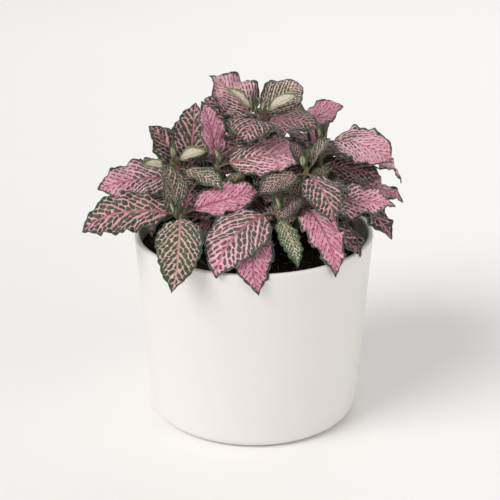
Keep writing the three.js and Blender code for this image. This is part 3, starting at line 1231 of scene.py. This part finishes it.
# where filling leaves may not reach
keepOut = {
    "margin": 1 * mm,  # inside the frame's box
    "outline": ((166 * mm, 30 * mm), (150 * mm, 58 * mm)),  # above this, farther aside than this
    "mouth": (105 * mm, 60 * mm),
    "rim": (111 * mm, 60 * mm, 72 * mm),
    "low": 88 * mm,
}
# lines of sight through an upright sheet in the middle of the plant
sight = {
    "step": 2 * mm,
    "left": -80 * mm,
    "low": 96 * mm,
    "columns": 83,
    "rows": 43,
    "potBehind": 134 * mm,
}


def roughLeaf(shoot, values, seed):
    # the blade as a coarse sheet, to try a place with
    leaf, start = readLeaf(values, seed), leafStart(shoot, *values[:4])[0]
    bm = bmesh.new()
    for vert in bmesh.ops.create_grid(bm, x_segments=9, y_segments=4, size=0.5)["verts"]:
        s, v = max(0.06, vert.co.x + 0.5), vert.co.y * 2
        vert.co = bladePoint(leaf, start, s, v)[0]
    sheet, points = BVHTree.FromBMesh(bm), [v.co.copy() for v in bm.verts]
    bm.free()
    return sheet, points


def roomFor(points):
    margin = Vector((1, 1, 1)) * keepOut["margin"]
    low, high = Vector(cadBox[0]) + margin, Vector(cadBox[1]) - margin
    mouthTop, mouthRadius = keepOut["mouth"]
    rimTop, rimInside, rimOutside = keepOut["rim"]
    for p in points:
        if not all(low[i] < p[i] < high[i] for i in range(3)):
            return False
        # from the front they stay below the outline of the upper leaves
        seen, aside = p.z + p.y * math.tan(math.radians(view["tilt"])), abs(p.x)
        if any(seen > top and aside > far for top, far in keepOut["outline"]):
            return False
        r = p.xy.length
        if p.z < keepOut["low"] or p.z < mouthTop and r < mouthRadius:
            return False
        if p.z < rimTop and rimInside < r < rimOutside:
            return False
    return True


def anyRow(shape, luck):
    length = luck.uniform(*shape["length"])
    stand = [luck.uniform(*shape[name]) for name in ("at", "azimuth", "rise", "droop")]
    width = length * luck.uniform(*fillShape["share"])
    roll, fold = luck.uniform(*fillShape["roll"]), luck.uniform(*fillShape["fold"])
    return (*stand, length, width, roll, fold, luck.choice(shape["looks"]))


def sightPlace(i, j):
    return sight["left"] + i * sight["step"], sight["low"] + j * sight["step"]


eye = camera.location.copy()
sightLines, firstHit = {}, {}  # each line's heading, and how far along it the first leaf lies
for i in range(sight["columns"]):
    for j in range(sight["rows"]):
        x, z = sightPlace(i, j)
        sightLines[i, j] = line = (Vector((x, 0, z)) - eye).normalized()
        hits = [solid.ray_cast(eye, line)[3] for solid in solids]
        firstHit[i, j] = min([hit for hit in hits if hit is not None], default=None)


def openView():
    # lines that pass between leaves, with leaves all round them
    free = set()
    for i, j in sightLines:
        x, z = sightPlace(i, j)
        if firstHit[i, j] is None and (z > sight["potBehind"] or abs(x) > potShape["rim"]):
            free.add((i, j))
    columnEnds, top = (0, sight["columns"] - 1), sight["rows"] - 1
    edge = [(i, j) for i, j in free if i in columnEnds or j == top]
    free -= set(edge)
    while edge:
        i, j = edge.pop()
        for near in ((i + 1, j), (i - 1, j), (i, j + 1), (i, j - 1)):
            if near in free:
                free.remove(near)
                edge.append(near)
    return free


def hides(sheet, most):
    # whether a leaf would stand before the leaves already seen
    count = 0
    for (i, j), line in sightLines.items():
        if i % 2 == 0 and j % 2 == 0 and firstHit[i, j] is not None:
            hit = sheet.ray_cast(eye, line)[3]
            if hit is not None and hit < firstHit[i, j] - 1 * mm:
                count += 1
                if count > most:
                    return True
    return False


def fits(sheet, points, most):
    if not roomFor(points) or any(sheet.overlap(solid) for solid in solids):
        return False
    return not hides(sheet, most)


def settle(shoot, row, sheet, seed):
    addLeaf(groups[shoot], shoot, row, seed, fillShape["detail"])
    solids.append(sheet)
    middles.append(bladeMiddle(shoot, row))
    for spot, line in sightLines.items():
        hit = sheet.ray_cast(eye, line)[3]
        if hit is not None and (firstHit[spot] is None or hit < firstHit[spot]):
            firstHit[spot] = hit


groups = {shoot: newLeafMesh() for shoot in lowerLeaves}
for i in range(screenShape["most"]):
    holes = openView()
    if len(holes) < screenShape["least"]:
        break
    seed += 1
    luck = random.Random(seed * 7)
    best = (1, None)
    for attempt in range(screenShape["tries"]):
        shoot, row = luck.choice(screenShape["shoots"]), anyRow(screenShape, luck)
        sheet, points = roughLeaf(shoot, row, seed)
        closed = sum(sheet.ray_cast(eye, sightLines[spot])[0] is not None for spot in holes)
        if closed > best[0] and fits(sheet, points, screenShape["hides"]):
            best = (closed, (shoot, row, sheet))
    print("open view:", len(holes), "lines, closed", best[0] if best[1] else 0)
    if best[1]:
        settle(*best[1], seed)

# each lower leaf takes the emptiest place that it can have
for shoot, count in lowerLeaves.items():
    for i in range(count):
        seed += 1
        luck = random.Random(seed * 7)
        best = None
        for attempt in range(lowerShape["tries"]):
            row = anyRow(lowerShape, luck)
            middle = bladeMiddle(shoot, row)
            room = min((middle - other).length for other in middles)
            if middle.y < lowerShape["front"] or best and room < best[0]:
                continue
            sheet, points = roughLeaf(shoot, row, seed)
            if fits(sheet, points, lowerShape["hides"]):
                best = (room, row, sheet)
        if best:
            settle(shoot, best[1], best[2], seed)
for shoot, bm in groups.items():
    finishLeaves(f"{shoot}LowerLeaves", bm)
print("lower leaves made:", len(middles), "blades in all")
